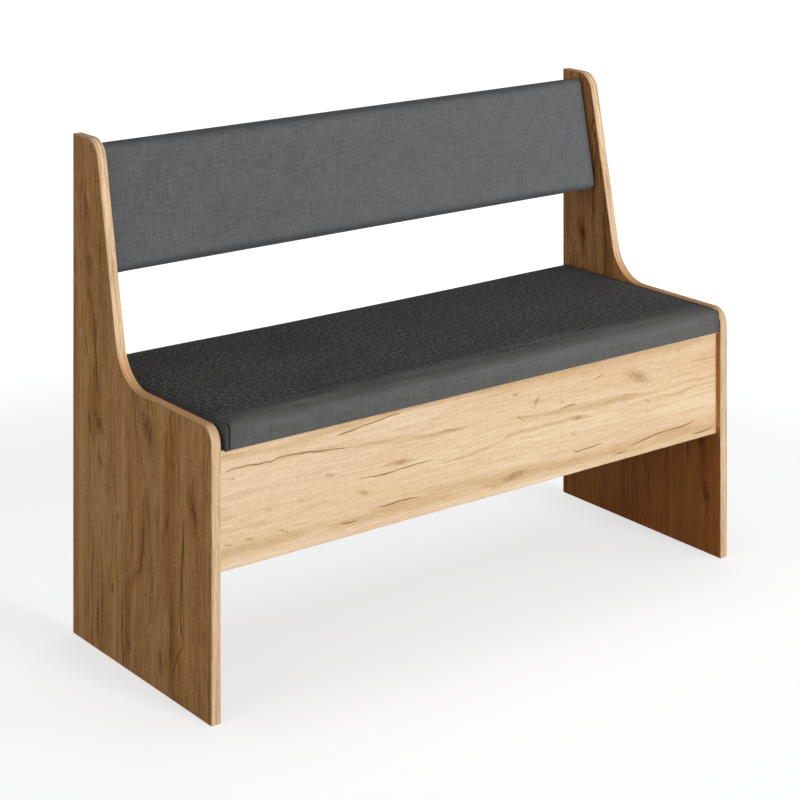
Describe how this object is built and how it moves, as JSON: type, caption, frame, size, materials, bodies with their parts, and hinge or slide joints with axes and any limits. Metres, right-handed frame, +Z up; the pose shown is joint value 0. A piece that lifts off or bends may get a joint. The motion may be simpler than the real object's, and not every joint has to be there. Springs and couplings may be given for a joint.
{
  "type": "upholstered bench",
  "caption": "Upholstered bench of oak-effect board with shaped sides, a storage chest under a hinged padded seat, and a padded backrest that leans with the sides.",
  "frame": {"origin": "on the floor, under the middle of the bench's bounding box", "axes": "+X along the bench, to the right as seen from its front; +Y to its back; +Z up"},
  "size_m": [1.196, 0.469, 0.9],
  "materials": {
    "oak_board": "matt oak-effect melamine on chipboard",
    "oak_band": "matt pale oak-effect edge band",
    "particle_board": "raw sanded chipboard",
    "foam": "open-cell polyurethane foam",
    "seat_fabric": "dark charcoal felt-like weave",
    "backrest_fabric": "mid grey linen-like weave",
    "zinc_plated_steel": "bright zinc plating",
    "cam_zinc": "dull die-cast zinc"
  },
  "bodies": {
    "frame": {"side_panel_left": "oak_board", "side_panel_right": "oak_board", "front_edge_band_left": "oak_band", "front_edge_band_right": "oak_band", "back_edge_band_left": "oak_band", "back_edge_band_right": "oak_band", "front_panel": "oak_board", "back_panel": "oak_board", "bottom_panel": "oak_board", "front_panel_bands": "oak_band", "back_panel_bands": "oak_band", "backrest_board": "particle_board", "backrest_foam": "foam", "backrest_cover": "backrest_fabric", "cam_discs": "cam_zinc", "cam_bolts": "zinc_plated_steel", "hinge_frame_leaves": "zinc_plated_steel", "hinge_pins": "zinc_plated_steel"},
    "lid": {"seat_board": "particle_board", "seat_foam": "foam", "seat_cover": "seat_fabric", "hinge_lid_leaves": "zinc_plated_steel"}
  },
  "joints": [
    {"name": "lid_hinge", "type": "hinge", "parent": "frame", "child": "lid", "pos_m": [0, 0.1758, 0.4417], "axis": [-1, 0, 0], "range_deg": [0, 62]}
  ]
}
